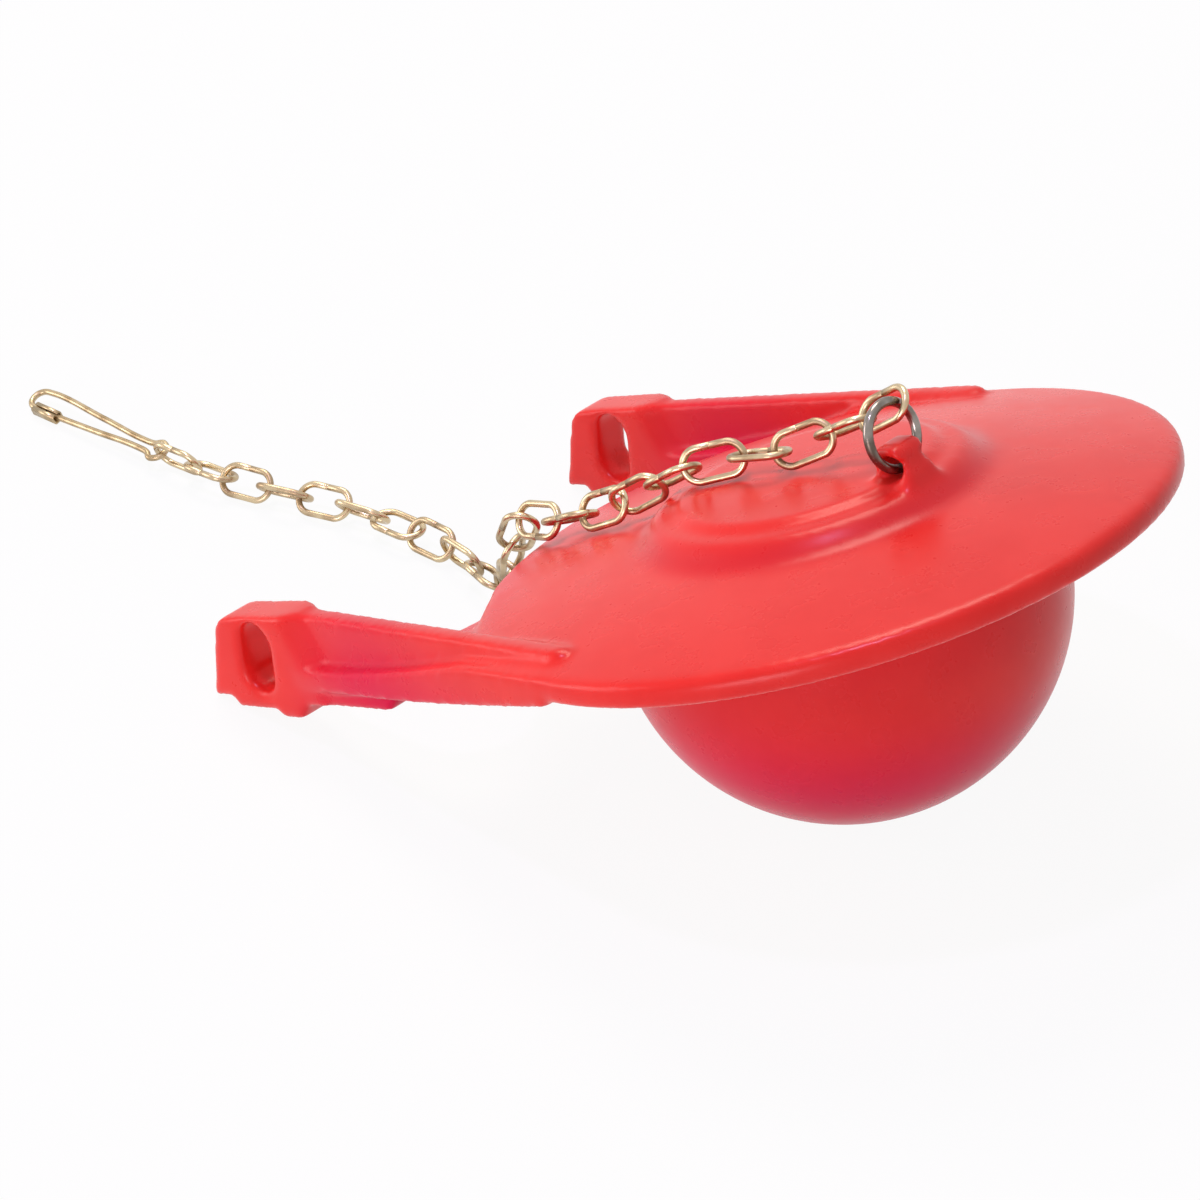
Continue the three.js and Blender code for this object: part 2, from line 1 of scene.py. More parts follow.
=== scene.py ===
"""Toilet flapper of moulded red rubber with its ring, link chain and wire clip.

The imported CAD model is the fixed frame. The rubber, the ring, every link and
the clip get a finer piece that stands where the CAD node is.
"""

import math

import bmesh
import bpy
import numpy as np
from mathutils import Matrix, Vector


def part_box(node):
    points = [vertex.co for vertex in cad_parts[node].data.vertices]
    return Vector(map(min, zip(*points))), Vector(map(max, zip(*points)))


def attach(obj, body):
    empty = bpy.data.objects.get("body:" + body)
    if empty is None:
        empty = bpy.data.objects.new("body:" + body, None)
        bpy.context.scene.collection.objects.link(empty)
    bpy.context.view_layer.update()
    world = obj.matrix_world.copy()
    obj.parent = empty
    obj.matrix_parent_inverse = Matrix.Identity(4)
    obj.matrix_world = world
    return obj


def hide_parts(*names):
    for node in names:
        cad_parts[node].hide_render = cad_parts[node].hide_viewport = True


MM = 0.001

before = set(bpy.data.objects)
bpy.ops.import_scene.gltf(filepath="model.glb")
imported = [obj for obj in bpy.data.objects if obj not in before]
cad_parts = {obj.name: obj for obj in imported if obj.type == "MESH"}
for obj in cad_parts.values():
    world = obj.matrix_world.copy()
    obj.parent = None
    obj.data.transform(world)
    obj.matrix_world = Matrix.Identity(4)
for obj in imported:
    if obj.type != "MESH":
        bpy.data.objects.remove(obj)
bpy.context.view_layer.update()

# The disc's section in its own frame, in mm: the same values as the CAD part
DISC_RADIUS = 43
RIM_THICKNESS = 3.2
RIM_EDGE = 0.6
BRIM_RISE = 3.5
BRIM_FULLNESS = 0.62
DOME_FOOT_RADIUS = 23
DOME_FOOT_PULL = 0.55
DOME_SHOULDER_RADIUS = 18.2
DOME_SHOULDER_HEIGHT = 6.3
DOME_SHOULDER_PULL = 0.3
PLATEAU_RADIUS = 15.6
PLATEAU_HEIGHT = 7.4
PLATEAU_STEP_SHARE = 0.35
CURVE_SETTLE = 0.1
BULB_RADIUS = 27.4
BULB_DEPTH = 8.6
HINGE_REACH = 67.8
HINGE_DEPTH = 3.8
EAR_BACK = 11.4
EAR_DROP = 5.8
EAR_FRONT = 7.4
EAR_THICKNESS = 6
ARM_SPACING = 66
RIB_TAPER = 3.6
RIB_TAIL_X = -7.2
RIB_TAIL_SHIFT = 5
RIB_TAIL_HEIGHT = 1.8
FLANGE_FILLET = 8

# How finely the rubber is drawn
LATHE_STEPS = 240
CURVE_STEPS = 24
VOXEL = 0.32
FILLET_ROUNDS = 16
MEETING_ROUNDS = 140
MEETING_LEVELS = 10
EVEN_VOXEL = 0.54
EVEN_ROUNDS = 2
TAIL_NUB = 1.3
NUB_SIDES = 20
MERGE = 0.001
CUT_NEAR = 1e-5

# Where the arms' tops are blended into the rim: each pair runs from none to all
MEETING_INNER = (14, 20)
MEETING_FROM_RIB = (1.8, 3.4)
MEETING_FROM_RIM = (-6.5, -3)
MEETING_FROM_EDGE = (0.5, 2)
MEETING_DROP = 1.4 * RIM_THICKNESS

# Painted shade: where the rubber's colour is made deeper to stand in for shade, in the foot of the dome's
# side, under the brim and over the lower bulb
RECESS_SHADE_SHARE = 0.4
RECESS_SHADE_WIDTH = 1.8
RECESS_SHADE_BELOW = 2.2 * BULB_DEPTH
RECESS_SHADE_MARGIN = 0.5
BULB_SHADE_HEIGHTS = (30, 12)
BULB_SHADE_START = -8
BULB_SHADE_FULL = 14

# Sizes and depths of the patterns in the finishes
COLOUR_CLOUD = 9
SKIN_SWELL = 14
SWELL_DEPTH = 0.1
MOULD_GRAIN = 0.45
GRAIN_DEPTH = 0.02
SCUFF = 5
WIRE_FILM = 3
WIRE_PITS = 0.25
PIT_DEPTH = 0.015

# Wire pieces
LINK_WIRE = 0.9
LINK_OPENING = 6.8
LINK_WIDTH = 5
LINK_BEND = (LINK_WIDTH - LINK_WIRE) / 2
LINK_STRAIGHT = LINK_OPENING + LINK_WIRE - 2 * LINK_BEND
RING_RADIUS = 3.9
RING_WIRE = 1.2
WIRE_SIDES = 14
BEND_STEPS = 38
SEAM_WIDTH = 0.16
SEAM_WAIST = 0.8

# Clip
CLIP_WIRE = 0.9
CLIP_LENGTH = 28.6
CLIP_WIDTH = 4.2
CLIP_EYE_RADIUS = 1.8
CLIP_NECK_GAP = 0.6
CLIP_END_GAP = 0.6
NOSE_TRIM = 0.12
NOSE_SHARE = 0.3
CLASP_SHARE = 0.7
CLASP_LENGTH = 4.8
CLASP_WIDTH = 1.7
CLASP_HEIGHT = 1.5
CLASP_SHEET = 0.25
CLASP_SLIT = 0.3
CLASP_CORNER = 0.4
CLASP_CORNER_STEPS = 4
CLASP_REACH = 0.97

# Room and camera, in metres unless the name says otherwise
FLOOR_HALF = 3.0
FLOOR_GLOW = 0.93
ROOM_LIGHT = 0.3
LAMP_AIM = (0.02, 0, 0.03)
CAMERA_LENS_MM = 122.31
CAMERA_SENSOR_MM = 36
CAMERA_FROM_DISC_MM = 265.08
CAMERA_SIDE_MM = -311.88
CAMERA_HEIGHT_MM = 288.06
CAMERA_TURN_DEGREES = (57.368, 2.367, 42.574)


# Materials

def linear(hex_colour):
    """An sRGB hex colour as the linear colour that a shader reads."""
    shares = [int(hex_colour[i:i + 2], 16) / 255 for i in (1, 3, 5)]
    return [s / 12.92 if s <= 0.04045 else ((s + 0.055) / 1.055) ** 2.4 for s in shares] + [1.0]


def add_node(tree, kind, settings=None, values=None, links=None):
    """One node of a material, with its settings, fixed inputs and links."""
    node = tree.nodes.new(kind)
    for name, value in (settings or {}).items():
        setattr(node, name, value)
    for socket, value in (values or {}).items():
        node.inputs[socket].default_value = value
    for socket, source in (links or {}).items():
        tree.links.new(source, node.inputs[socket])
    return node


def new_material(name):
    material = bpy.data.materials.new(name)
    material.use_nodes = True
    tree = material.node_tree
    tree.nodes.clear()
    return material, tree


def moulded_rubber():
    """Soft rubber, injection moulded: a satin skin with a fine grain, colour a little uneven, and a few dull
    scuffs where it was handled. The lower part round the bulb is painted a deeper crimson as painted shade,
    and the hollows of the dome's foot and under the brim a darker crimson as painted shade."""
    material, tree = new_material("moulded_red_rubber")
    place = add_node(tree, "ShaderNodeTexCoord")
    on_body = {"Vector": place.outputs["Object"]}
    cloud = add_node(tree, "ShaderNodeTexNoise", links=on_body,
                     values={"Scale": 1 / (COLOUR_CLOUD * MM), "Detail": 3, "Roughness": 0.55})
    grain = add_node(tree, "ShaderNodeTexNoise", links=on_body,
                     values={"Scale": 1 / (MOULD_GRAIN * MM), "Detail": 2, "Roughness": 0.6})
    swell = add_node(tree, "ShaderNodeTexNoise", links=on_body,
                     values={"Scale": 1 / (SKIN_SWELL * MM), "Detail": 2, "Roughness": 0.5})
    scuff = add_node(tree, "ShaderNodeTexNoise", links=on_body,
                     values={"Scale": 1 / (SCUFF * MM), "Detail": 4, "Roughness": 0.6})
    # Painted shade: the lower part of the body round the bulb is painted a deeper, more magenta crimson,
    # fading in towards the bottom and along X.
    parts = add_node(tree, "ShaderNodeSeparateXYZ", links=on_body)
    depth = add_node(tree, "ShaderNodeMapRange", {"interpolation_type": "SMOOTHSTEP"},
                     {"From Min": BULB_SHADE_HEIGHTS[0] * MM, "From Max": BULB_SHADE_HEIGHTS[1] * MM},
                     {"Value": parts.outputs["Z"]})
    under_disc = add_node(tree, "ShaderNodeMapRange", {"interpolation_type": "SMOOTHSTEP"},
                          {"From Min": BULB_SHADE_START * MM, "From Max": BULB_SHADE_FULL * MM},
                          {"Value": parts.outputs["X"]})
    bulb = add_node(tree, "ShaderNodeMath", {"operation": "MULTIPLY"},
                    links={0: depth.outputs["Result"], 1: under_disc.outputs["Result"]})
    cloud_range = add_node(tree, "ShaderNodeMapRange", values={"From Min": 0.35, "From Max": 0.65},
                           links={"Value": cloud.outputs["Fac"]})
    bright = add_node(tree, "ShaderNodeMix", {"data_type": "RGBA"},
                      {"A": linear("#E62924"), "B": linear("#EB302A")},
                      {"Factor": cloud_range.outputs["Result"]})
    shade = add_node(tree, "ShaderNodeMix", {"data_type": "RGBA"}, {"B": linear("#DA1A48")},
                     {"Factor": bulb.outputs["Value"], "A": bright.outputs["Result"]})
    # Painted shade: the rubber is painted a darker crimson in the foot of the dome's side and in the corner
    # under the brim round the bulb, by the attribute made in rubber_body.
    recess_shade = add_node(tree, "ShaderNodeAttribute", {"attribute_name": "recess_shade"})
    tone_and_painted_shade = add_node(tree, "ShaderNodeMix", {"data_type": "RGBA"}, {"B": linear("#BC1230")},
                           {"Factor": recess_shade.outputs["Fac"], "A": shade.outputs["Result"]})
    scuff_range = add_node(tree, "ShaderNodeMapRange", links={"Value": scuff.outputs["Fac"]},
                           values={"From Min": 0.4, "From Max": 0.72, "To Min": 0.27, "To Max": 0.32})
    low = add_node(tree, "ShaderNodeBump", values={"Strength": 0.1, "Distance": SWELL_DEPTH * MM},
                   links={"Height": swell.outputs["Fac"]})
    skin = add_node(tree, "ShaderNodeBump", values={"Strength": 0.06, "Distance": GRAIN_DEPTH * MM},
                    links={"Height": grain.outputs["Fac"], "Normal": low.outputs["Normal"]})
    gleam = add_node(tree, "ShaderNodeMapRange", values={"To Min": 0.24, "To Max": 0.07},
                     links={"Value": bulb.outputs["Value"]})
    rubber = add_node(tree, "ShaderNodeBsdfPrincipled",
                      values={"IOR": 1.5, "Subsurface Weight": 0.12, "Subsurface Scale": 1.5 * MM,
                              "Subsurface Radius": (1.0, 0.25, 0.2)},
                      links={"Base Color": tone_and_painted_shade.outputs["Result"],
                             "Roughness": scuff_range.outputs["Result"],
                             "Specular IOR Level": gleam.outputs["Result"],
                             "Normal": skin.outputs["Normal"]})
    add_node(tree, "ShaderNodeOutputMaterial", links={"Surface": rubber.outputs["BSDF"]})
    return material


def drawn_wire(name, bright_hex, dull_hex, smooth, rough):
    """Plain wire, drawn and bent: bright metal with a thin dull film that
    gathers in patches, so its gloss comes and goes along the wire."""
    material, tree = new_material(name)
    place = add_node(tree, "ShaderNodeTexCoord")
    on_wire = {"Vector": place.outputs["Object"]}
    film = add_node(tree, "ShaderNodeTexNoise", links=on_wire,
                    values={"Scale": 1 / (WIRE_FILM * MM), "Detail": 3, "Roughness": 0.5})
    pits = add_node(tree, "ShaderNodeTexNoise", links=on_wire,
                    values={"Scale": 1 / (WIRE_PITS * MM), "Detail": 2, "Roughness": 0.6})
    patch = add_node(tree, "ShaderNodeMapRange", values={"From Min": 0.38, "From Max": 0.64},
                     links={"Value": film.outputs["Fac"]})
    colour = add_node(tree, "ShaderNodeMix", {"data_type": "RGBA"},
                      {"A": linear(bright_hex), "B": linear(dull_hex)},
                      {"Factor": patch.outputs["Result"]})
    gloss = add_node(tree, "ShaderNodeMapRange", values={"To Min": smooth, "To Max": rough},
                     links={"Value": patch.outputs["Result"]})
    skin = add_node(tree, "ShaderNodeBump", values={"Strength": 0.15, "Distance": PIT_DEPTH * MM},
                    links={"Height": pits.outputs["Fac"]})
    metal = add_node(tree, "ShaderNodeBsdfPrincipled", values={"Metallic": 1.0},
                     links={"Base Color": colour.outputs["Result"], "Roughness": gloss.outputs["Result"],
                            "Normal": skin.outputs["Normal"]})
    add_node(tree, "ShaderNodeOutputMaterial", links={"Surface": metal.outputs["BSDF"]})
    return material


# Shapes

def in_scene(name, data):
    thing = bpy.data.objects.new(name, data)
    bpy.context.scene.collection.objects.link(thing)
    return thing


def finished(name, shape, material):
    """A bmesh as a smooth-shaded object, with its place in its mesh."""
    mesh = bpy.data.meshes.new(name)
    shape.to_mesh(mesh)
    shape.free()
    mesh.materials.append(material)
    mesh.shade_smooth()
    return in_scene(name, mesh)


def full_turn(shape, outline, steps):
    """Spin an outline once round Z and close it."""
    bmesh.ops.spin(shape, geom=outline, cent=(0, 0, 0), axis=(0, 0, 1), dvec=(0, 0, 0), angle=2 * math.pi,
                   steps=steps, use_merge=True, use_normal_flip=False, use_duplicate=False)
    bmesh.ops.remove_doubles(shape, verts=shape.verts, dist=MERGE)


def stand_in(piece, node, body):
    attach(piece, body)
    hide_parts(node)


def quadratic(a, b, c):
    shares = np.linspace(0, 1, CURVE_STEPS)[:, None]
    a, b, c = np.array(a), np.array(b), np.array(c)
    return a * (1 - shares) ** 2 + 2 * b * shares * (1 - shares) + c * shares ** 2


def cubic(a, b, c, d):
    shares = np.linspace(0, 1, CURVE_STEPS)[:, None]
    a, b, c, d = np.array(a), np.array(b), np.array(c), np.array(d)
    rest = 1 - shares
    return a * rest ** 3 + 3 * b * shares * rest ** 2 + 3 * c * shares ** 2 * rest + d * shares ** 3


def disc_section():
    """Half section of disc, dome and bulb, from the bulb's foot to the middle
    of the plateau, as radius and height."""
    turns = np.linspace(-math.pi / 2, 0, 2 * CURVE_STEPS)
    bulb = np.stack([BULB_RADIUS * np.cos(turns), BULB_RADIUS * np.sin(turns) - BULB_DEPTH], 1)
    bulb[0, 0] = 0
    edge = [(BULB_RADIUS, -RIM_THICKNESS), (DISC_RADIUS - RIM_EDGE, -RIM_THICKNESS),
            (DISC_RADIUS, RIM_EDGE - RIM_THICKNESS), (DISC_RADIUS, -RIM_EDGE)]
    foot = (DOME_FOOT_RADIUS, BRIM_RISE)
    shoulder = (DOME_SHOULDER_RADIUS, DOME_SHOULDER_HEIGHT)
    brim_middle = ((DISC_RADIUS + DOME_FOOT_RADIUS) / 2, BRIM_RISE * BRIM_FULLNESS)
    side_width = DOME_FOOT_RADIUS - DOME_SHOULDER_RADIUS
    low = (foot[0] - side_width * DOME_FOOT_PULL, foot[1] + CURVE_SETTLE)
    high = (shoulder[0] + side_width * DOME_SHOULDER_PULL, shoulder[1] - CURVE_SETTLE)
    step_foot = (PLATEAU_RADIUS + (DOME_SHOULDER_RADIUS - PLATEAU_RADIUS) * PLATEAU_STEP_SHARE,
                 DOME_SHOULDER_HEIGHT + CURVE_SETTLE)
    step_head = (PLATEAU_RADIUS, PLATEAU_HEIGHT - CURVE_SETTLE)
    plateau = [step_foot, step_head, (PLATEAU_RADIUS / 2, PLATEAU_HEIGHT), (0, PLATEAU_HEIGHT)]
    brim = quadratic((DISC_RADIUS - RIM_EDGE, 0), brim_middle, foot)
    side = cubic(foot, low, high, shoulder)
    return np.concatenate([bulb, edge, brim, side[1:], plateau])


def rest_tilt():
    """Lean at which the bulb and the ears' back corners touch one table."""
    corner_x = HINGE_REACH + EAR_BACK
    corner_drop = HINGE_DEPTH + EAR_DROP - BULB_DEPTH
    distance = math.hypot(corner_x, corner_drop)
    return math.asin(BULB_RADIUS / distance) - math.atan2(corner_drop, corner_x)


TILT = rest_tilt()
AXIS_HEIGHT = BULB_DEPTH * math.cos(TILT) + BULB_RADIUS
SECTION = disc_section()
FAR_REACH = max(SECTION[:, 0] * math.cos(TILT) - SECTION[:, 1] * math.sin(TILT))
DISC_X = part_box("flapper_body")[1].x / MM - FAR_REACH


def disc_place():
    """From the disc's own frame in mm to the table's frame in metres."""
    lean = Matrix.Rotation(-TILT, 4, "Y")
    return Matrix.Scale(MM, 4) @ Matrix.Translation((DISC_X, 0, AXIS_HEIGHT)) @ lean


def evaluated_mesh(piece):
    """The mesh that a piece's modifiers make; the piece itself is removed."""
    bpy.context.view_layer.update()
    mesh = bpy.data.meshes.new_from_object(piece.evaluated_get(bpy.context.evaluated_depsgraph_get()))
    bpy.data.objects.remove(piece)
    return mesh


def regrow(piece, voxel):
    """Remake a piece's skin in even faces of the given size in mm."""
    skin = piece.modifiers.new("regrown", "REMESH")
    skin.mode = "VOXEL"
    skin.voxel_size = voxel * MM


def ease(piece, rounds, group=""):
    """Round a piece's corners off, or only those of one vertex group."""
    smooth = piece.modifiers.new("eased", "SMOOTH")
    smooth.factor = 0.5
    smooth.iterations = rounds
    smooth.vertex_group = group


def ramp(value, start, end):
    """From 0 at the start to 1 at the end, and flat beyond both."""
    return np.clip((value - start) / (end - start), 0, 1)


def in_disc_frame(mesh):
    """The mesh's points in the disc's own frame, in mm, as x, y and z."""
    points = np.empty(len(mesh.vertices) * 3, np.float32)
    mesh.vertices.foreach_get("co", points)
    inverse = np.array(disc_place().inverted())
    return (points.reshape(-1, 3) @ inverse[:3, :3].T + inverse[:3, 3]).T


def recess_shade_amount(mesh):
    """How much painted shade each point takes where shade falls in the hollows: the foot of the dome's side,
    or the corner between the brim's underside and the bulb."""
    x, y, z = in_disc_frame(mesh)
    radius = np.hypot(x, y)
    side_middle = (DOME_FOOT_RADIUS + DOME_SHOULDER_RADIUS) / 2
    dome_foot = np.exp(-((radius - side_middle) / RECESS_SHADE_WIDTH) ** 2) * (z > 0)
    on_bulb = (radius < BULB_RADIUS + RECESS_SHADE_MARGIN) * (z < -RIM_THICKNESS)
    below = ramp(z, -RECESS_SHADE_BELOW, -RIM_THICKNESS) * on_bulb
    return RECESS_SHADE_SHARE * np.maximum(dome_foot, below)


def meeting_weights(mesh):
    """How much of the broad easing each point takes: the top of the corner in
    which each arm's inner fillet meets the rim."""
    x, y, z = in_disc_frame(mesh)
    y = np.abs(y)
    radius = np.hypot(x, y)
    rib_start = EAR_FRONT + RIB_TAPER - HINGE_REACH
    rib_y = ARM_SPACING / 2 + RIB_TAIL_SHIFT * ramp(x, rib_start, RIB_TAIL_X)
    fillet_y = ARM_SPACING / 2 - EAR_THICKNESS / 2 - FLANGE_FILLET
    fillet_x = -math.sqrt((DISC_RADIUS + FLANGE_FILLET) ** 2 - fillet_y ** 2)
    inside_edge = np.hypot(x - fillet_x, y - fillet_y) - FLANGE_FILLET
    upper = np.where(radius < DISC_RADIUS, z > -RIM_THICKNESS / 2, z > -MEETING_DROP)
    near_rim = ramp(-np.abs(radius - DISC_RADIUS), *MEETING_FROM_RIM)
    across = ramp(y, *MEETING_INNER) * ramp(rib_y - y, *MEETING_FROM_RIB)
    return across * near_rim * ramp(inside_edge, *MEETING_FROM_EDGE) * (x < 0) * upper


def rubber_body(material):
    """Disc, dome and bulb turned in one piece, grown together with the arms and
    the lug of the CAD body, then eased so that every corner has its fillet."""
    shape = bmesh.new()
    corners = [shape.verts.new((radius, 0, height)) for radius, height in SECTION]
    section = [shape.edges.new(pair) for pair in zip(corners, corners[1:])]
    full_turn(shape, corners + section, LATHE_STEPS)
    bmesh.ops.recalc_face_normals(shape, faces=shape.faces)
    for side in (-1, 1):
        tail_y = side * (ARM_SPACING / 2 + RIB_TAIL_SHIFT)
        nub = Matrix.Translation((RIB_TAIL_X, tail_y, RIB_TAIL_HEIGHT / 2))
        bmesh.ops.create_cone(shape, cap_ends=True, segments=NUB_SIDES, radius1=TAIL_NUB, radius2=TAIL_NUB,
                              depth=RIB_TAIL_HEIGHT, matrix=nub)
    bmesh.ops.transform(shape, matrix=disc_place(), verts=shape.verts)
    shape.from_mesh(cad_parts["flapper_body"].data)
    bmesh.ops.remove_doubles(shape, verts=shape.verts, dist=MERGE * MM)
    blank = finished("rubber_blank", shape, material)
    regrow(blank, VOXEL)
    whole = evaluated_mesh(blank)

    weights = meeting_weights(whole)
    body = in_scene("rubber_flapper", whole)
    meeting = body.vertex_groups.new(name="meeting")
    levels = np.round(weights * MEETING_LEVELS).astype(int)
    for level in range(1, MEETING_LEVELS + 1):
        meeting.add(np.flatnonzero(levels == level).tolist(), level / MEETING_LEVELS, "REPLACE")
    ease(body, FILLET_ROUNDS)
    ease(body, MEETING_ROUNDS, "meeting")
    regrow(body, EVEN_VOXEL)
    ease(body, EVEN_ROUNDS)
    whole = evaluated_mesh(body)
    whole.materials.clear()
    whole.materials.append(material)
    whole.shade_smooth()
    # Painted shade: each point's share of the darker crimson that stands in for shade in the dome's foot and
    # under the brim.
    recess_shades = whole.attributes.new("recess_shade", "FLOAT", "POINT")
    recess_shades.data.foreach_set("value", recess_shade_amount(whole).astype(np.float32))
    return in_scene("rubber_flapper", whole)


def cut_faces(shape, faces, point, normal):
    """Cut the given faces, and no others, along a plane."""
    around = {e for f in faces for e in f.edges} | {v for f in faces for v in f.verts}
    return bmesh.ops.bisect_plane(shape, geom=faces + list(around), plane_co=point, plane_no=normal,
                                  dist=CUT_NEAR)


def wire_loop(radius, wire, straight):
    """A closed loop of round wire, drawn out by the straight length along X,
    with the fine seam where the wire's two ends meet on one side."""
    shape = bmesh.new()
    half_step = math.pi / BEND_STEPS
    upright = Matrix.Translation((radius, 0, 0)) @ Matrix.Rotation(math.pi / 2, 4, "X")
    start = Matrix.Rotation(half_step, 4, "Z") @ upright
    made = bmesh.ops.create_circle(shape, cap_ends=False, segments=WIRE_SIDES, radius=wire / 2, matrix=start)
    full_turn(shape, made["verts"] + shape.edges[:], BEND_STEPS)
    for side in (-1, 1):
        far = [v for v in shape.verts if v.co.x * side > 0]
        bmesh.ops.translate(shape, verts=far, vec=(side * straight / 2, 0, 0))
    for offset in (-SEAM_WIDTH / 2, 0, SEAM_WIDTH / 2):
        middles = {f: f.calc_center_median() for f in shape.faces}
        cut = cut_faces(shape, [f for f, m in middles.items() if m.y > 0 and abs(m.x) < radius],
                        (offset, 0, 0), (1, 0, 0))
        if offset == 0:
            waist = [v for v in cut["geom_cut"] if isinstance(v, bmesh.types.BMVert)]
    middle = Matrix.Translation((0, -radius, 0))
    bmesh.ops.scale(shape, verts=waist, vec=(1, SEAM_WAIST, SEAM_WAIST), space=middle)
    bmesh.ops.recalc_face_normals(shape, faces=shape.faces)
    return shape


def node_corners(node):
    points = np.array([v.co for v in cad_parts[node].data.vertices], float)
    return np.unique(points.round(8), axis=0)


def node_axes(node):
    """Centre of a CAD node and its long, wide and thin directions."""
    points = node_corners(node)
    centre = points.mean(0)
    directions = np.linalg.svd(points - centre, full_matrices=False)[2]
    return centre, directions


def axes_matrix(centre, run, width):
    """From a piece's own frame in mm to where its long and wide sides lie."""
    thin = np.cross(run, width)
    turn = Matrix((run, width, thin)).transposed().to_4x4()
    return Matrix.Translation(centre) @ turn @ Matrix.Scale(MM, 4)


def wire_piece(name, node, body, shape, material):
    centre, directions = node_axes(node)
    place = axes_matrix(centre, directions[0], directions[1])
    bmesh.ops.transform(shape, matrix=place, verts=shape.verts)
    stand_in(finished(name, shape, material), node, body)


def clip_path():
    """The spring wire's way from one end in the clasp, round the eye and the
    nose, to the other end in the clasp, in the clip's own plane."""
    half = (CLIP_WIDTH - CLIP_WIRE) / 2
    nose = CLIP_LENGTH - CLIP_WIRE / 2 - NOSE_TRIM
    bend = nose - half - CLIP_WIRE / 2
    neck = 2 * CLIP_EYE_RADIUS
    neck_half = (CLIP_WIRE + CLIP_NECK_GAP) / 2
    eye = CLIP_EYE_RADIUS - CLIP_WIRE / 2
    clasp = CLIP_LENGTH - half - CLASP_LENGTH * CLASP_SHARE
    leg_middle = (clasp + neck) / 2
    leg_half = (half + neck_half) / 2
    bow = CLIP_WIRE / 6
    nose_side = half * (1 - NOSE_SHARE)
    nose_back = nose - half * NOSE_SHARE
    return clasp, half, [
        (clasp - CLIP_END_GAP / 2, -half),
        (leg_middle, -leg_half),
        (neck + CLIP_WIRE, -neck_half),
        (neck - CLIP_WIRE, -neck_half - bow),
        (eye, -eye - bow),
        (0, 0),
        (eye, eye + bow),
        (neck - CLIP_WIRE, neck_half + bow),
        (neck + CLIP_WIRE, neck_half),
        (leg_middle, leg_half),
        (bend, half),
        (nose_back, nose_side),
        (nose, 0),
        (nose_back, -nose_side),
        (bend, -half),
        (clasp + CLIP_END_GAP / 2, -half),
    ]


def clip_axes():
    """The clip's own frame, found from the eight corners of its clasp, which
    stand further out of the wire's plane than anything else."""
    points = node_corners("chain_clip")
    middle = points.mean(0)
    thin = np.linalg.svd(points - middle, full_matrices=False)[2][2]
    heights = (points - middle) @ thin
    spread = np.abs(heights - (heights.max() + heights.min()) / 2)
    block = points[spread > CLASP_REACH * spread.max()]
    clasp_centre = (block.max(0) + block.min(0)) / 2
    run = np.linalg.svd(block - block.mean(0), full_matrices=False)[2][0]
    return points, clasp_centre, run, thin


def clip_wire(path):
    """The spring wire of the clip as a mesh, drawn along its path."""
    line = bpy.data.curves.new("clip_wire_line", "CURVE")
    line.dimensions = "3D"
    line.bevel_depth = CLIP_WIRE / 2
    line.bevel_resolution = 4
    line.use_fill_caps = True
    line.resolution_u = 14
    spline = line.splines.new("BEZIER")
    spline.bezier_points.add(len(path) - 1)
    for knot, (x, y) in zip(spline.bezier_points, path):
        knot.co = (x, y, 0)
        knot.handle_left_type = knot.handle_right_type = "AUTO"
    return evaluated_mesh(in_scene("clip_wire_line", line))


def clasp_sleeve():
    """The folded sheet that holds the wire's two ends, open along a slit."""
    shape = bmesh.new()
    made = bmesh.ops.create_cube(shape, size=1.0)["verts"]
    bmesh.ops.scale(shape, verts=made, vec=(CLASP_LENGTH, CLASP_WIDTH, CLASP_HEIGHT))
    long_edges = [e for e in shape.edges if abs(e.verts[0].co.x - e.verts[1].co.x) > CLASP_LENGTH / 2]
    bmesh.ops.bevel(shape, geom=long_edges, offset=CLASP_CORNER, offset_type="OFFSET",
                    segments=CLASP_CORNER_STEPS, profile=0.5, affect="EDGES", material=-1)
    ends = [f for f in shape.faces if abs(f.normal.x) > 0.9]
    bmesh.ops.delete(shape, geom=ends, context="FACES_ONLY")
    for offset in (-CLASP_SLIT / 2, CLASP_SLIT / 2):
        cut_faces(shape, [f for f in shape.faces if f.normal.z < -0.9], (0, offset, 0), (0, 1, 0))
    under = [f for f in shape.faces if f.normal.z < -0.9]
    slit = [f for f in under if abs(f.calc_center_median().y) < CLASP_SLIT / 2]
    bmesh.ops.delete(shape, geom=slit, context="FACES")
    bmesh.ops.recalc_face_normals(shape, faces=shape.faces)
    bmesh.ops.solidify(shape, geom=shape.faces[:], thickness=CLASP_SHEET)
    return shape


def clip_body(material):
    """The clip's wire and its clasp, placed where the CAD clip lies."""
    clasp, half, path = clip_path()
    points, clasp_centre, run, thin = clip_axes()
    far = points[np.argmax(np.linalg.norm(points - clasp_centre, axis=1))]
    if np.dot(run, far - clasp_centre) > 0:
        run = -run
    width = np.cross(thin, run)
    if np.dot(width, points.mean(0) - clasp_centre) < 0:
        width = -width
    eye = clasp_centre - run * clasp * MM + width * half * MM
    shape = clasp_sleeve()
    bmesh.ops.translate(shape, verts=shape.verts, vec=(clasp, -half, 0))
    shape.from_mesh(clip_wire(path))
    bmesh.ops.transform(shape, matrix=axes_matrix(eye, run, width), verts=shape.verts)
    stand_in(finished("spring_clip", shape, material), "chain_clip", "clip")


# The flapper

rubber = moulded_rubber()
ring_steel = drawn_wire("drawn_ring_steel", "#948C86", "#61584F", 0.16, 0.34)
chain_brass = drawn_wire("bent_chain_brass", "#D0BC9A", "#A28C6E", 0.26, 0.42)
clip_brass = drawn_wire("spring_clip_brass", "#C6B18E", "#998464", 0.28, 0.44)

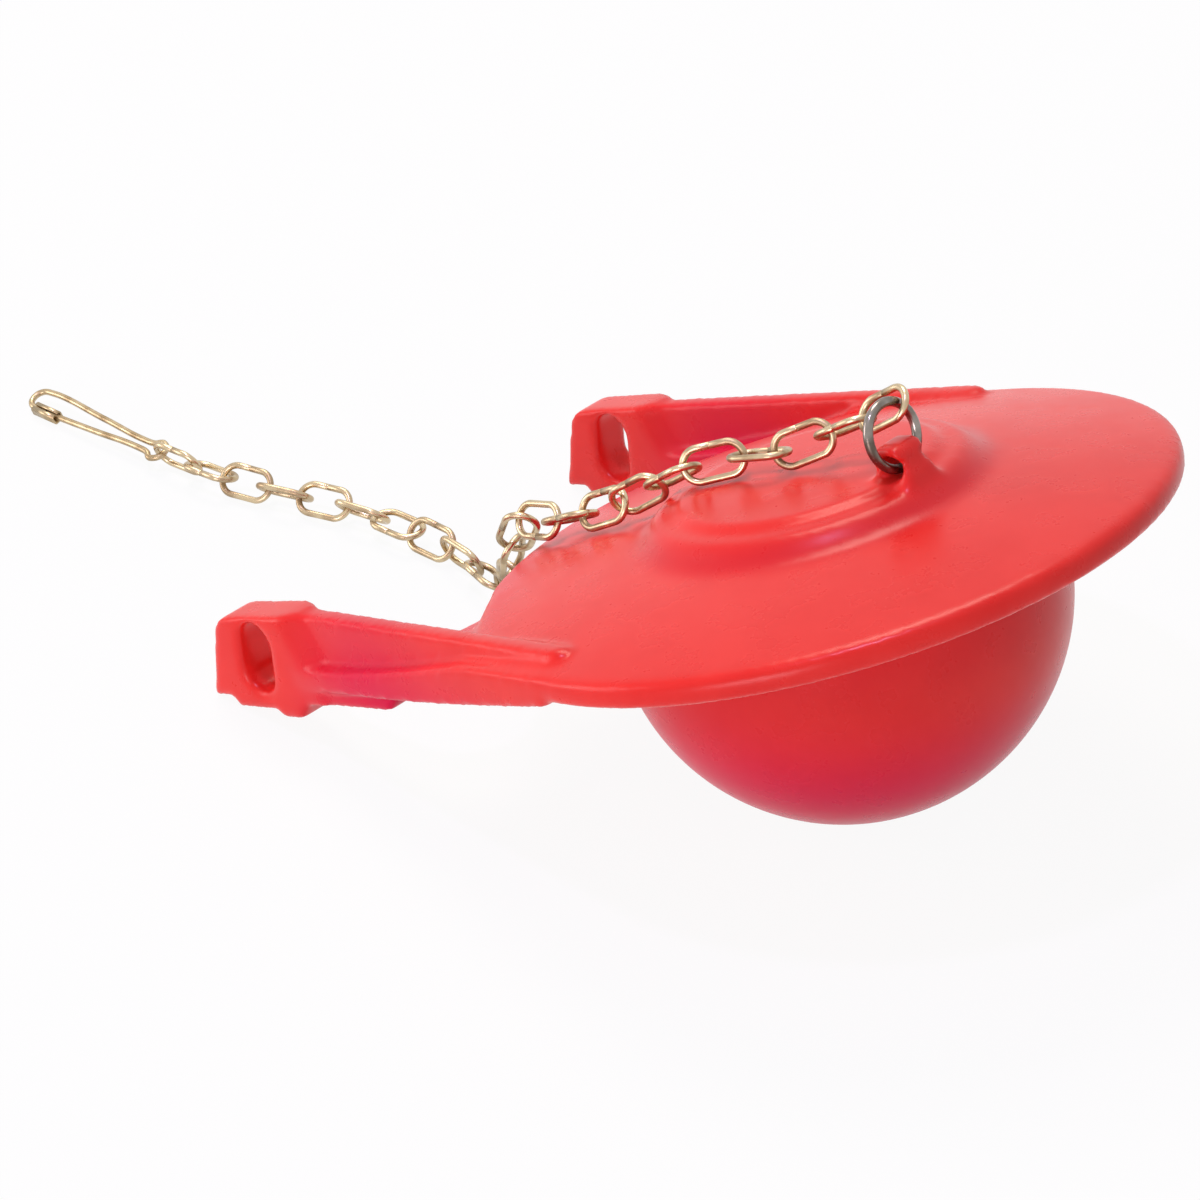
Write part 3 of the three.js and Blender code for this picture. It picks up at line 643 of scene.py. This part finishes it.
stand_in(rubber_body(rubber), "flapper_body", "flapper")
ring_loop = wire_loop(RING_RADIUS, RING_WIRE, 0)
wire_piece("lug_ring_wire", "lug_ring", "ring", ring_loop, ring_steel)
for node in sorted(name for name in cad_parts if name.startswith("chain_link_")):
    number = node.removeprefix("chain_link_")
    wire_piece("wire_link_" + number, node, "link_" + number,
               wire_loop(LINK_BEND, LINK_WIRE, LINK_STRAIGHT), chain_brass)
clip_body(clip_brass)


# Floor, light and camera

def seen_directly(tree):
    """1 for the rays that show a surface: to the camera, in a gloss, or through."""
    path = add_node(tree, "ShaderNodeLightPath")
    seen = add_node(tree, "ShaderNodeMath", {"operation": "MAXIMUM"},
                    links={0: path.outputs["Is Camera Ray"], 1: path.outputs["Is Glossy Ray"]})
    through = add_node(tree, "ShaderNodeMath", {"operation": "MAXIMUM"},
                       links={0: seen.outputs[0], 1: path.outputs["Is Transmission Ray"]})
    return through.outputs[0]


def white_paper():
    """A flat pale paper floor: it shows as white, and keeps a light shadow."""
    material, tree = new_material("white_paper_floor")
    share = add_node(tree, "ShaderNodeMath", {"operation": "MULTIPLY"}, {1: FLOOR_GLOW},
                     {0: seen_directly(tree)})
    paper = add_node(tree, "ShaderNodeBsdfDiffuse", values={"Color": linear("#F2F2F2")})
    glow = add_node(tree, "ShaderNodeEmission", values={"Color": linear("#FFFFFF"), "Strength": 1.0})
    mix = add_node(tree, "ShaderNodeMixShader",
                   links={"Fac": share.outputs[0], 1: paper.outputs[0], 2: glow.outputs[0]})
    add_node(tree, "ShaderNodeOutputMaterial", links={"Surface": mix.outputs[0]})
    return material


def studio_world():
    """A dim, even room round the object, seen as plain white."""
    world = bpy.data.worlds.new("studio_white")
    world.use_nodes = True
    tree = world.node_tree
    tree.nodes.clear()
    soft = add_node(tree, "ShaderNodeBackground", values={"Color": linear("#F4F6FF"), "Strength": ROOM_LIGHT})
    white = add_node(tree, "ShaderNodeBackground", values={"Color": linear("#FFFFFF"), "Strength": 1.0})
    mix = add_node(tree, "ShaderNodeMixShader",
                   links={"Fac": seen_directly(tree), 1: soft.outputs[0], 2: white.outputs[0]})
    add_node(tree, "ShaderNodeOutputWorld", links={"Surface": mix.outputs[0]})
    bpy.context.scene.world = world


def softbox(name, place, size, power, hex_colour):
    """A square softbox that looks at the middle of the flapper."""
    light = bpy.data.lights.new(name, "AREA")
    light.size = size
    light.energy = power
    light.color = linear(hex_colour)[:3]
    lamp = in_scene(name, light)
    aim = Vector(LAMP_AIM) - Vector(place)
    lamp.location = place
    lamp.rotation_euler = aim.to_track_quat("-Z", "Y").to_euler()


def camera():
    """At the photograph's angle, as fitted to the disc, the ears and the bulb."""
    lens = bpy.data.cameras.new("photo_camera")
    lens.sensor_width = CAMERA_SENSOR_MM
    lens.lens = CAMERA_LENS_MM
    eye = in_scene("photo_camera", lens)
    eye.location = ((DISC_X + CAMERA_FROM_DISC_MM) * MM, CAMERA_SIDE_MM * MM, CAMERA_HEIGHT_MM * MM)
    eye.rotation_euler = [math.radians(angle) for angle in CAMERA_TURN_DEGREES]
    bpy.context.scene.camera = eye


floor_shape = bmesh.new()
bmesh.ops.create_grid(floor_shape, x_segments=1, y_segments=1, size=FLOOR_HALF)
floor = finished("paper_floor", floor_shape, white_paper())

studio_world()
softbox("key_softbox", (-0.4, 0.3, 0.95), 0.45, 5.4, "#FFF2E4")
softbox("overhead_lamp", (0.015, -0.21, 0.92), 0.06, 2.6, "#DCC8FF")
softbox("left_softbox", (-0.8, -0.6, 0.22), 0.5, 3.0, "#FFF0F0")
softbox("front_softbox", (0.3, -1.0, 0.1), 0.5, 5.2, "#FFEAF2")
camera()
bpy.context.scene.view_settings.view_transform = "Standard"
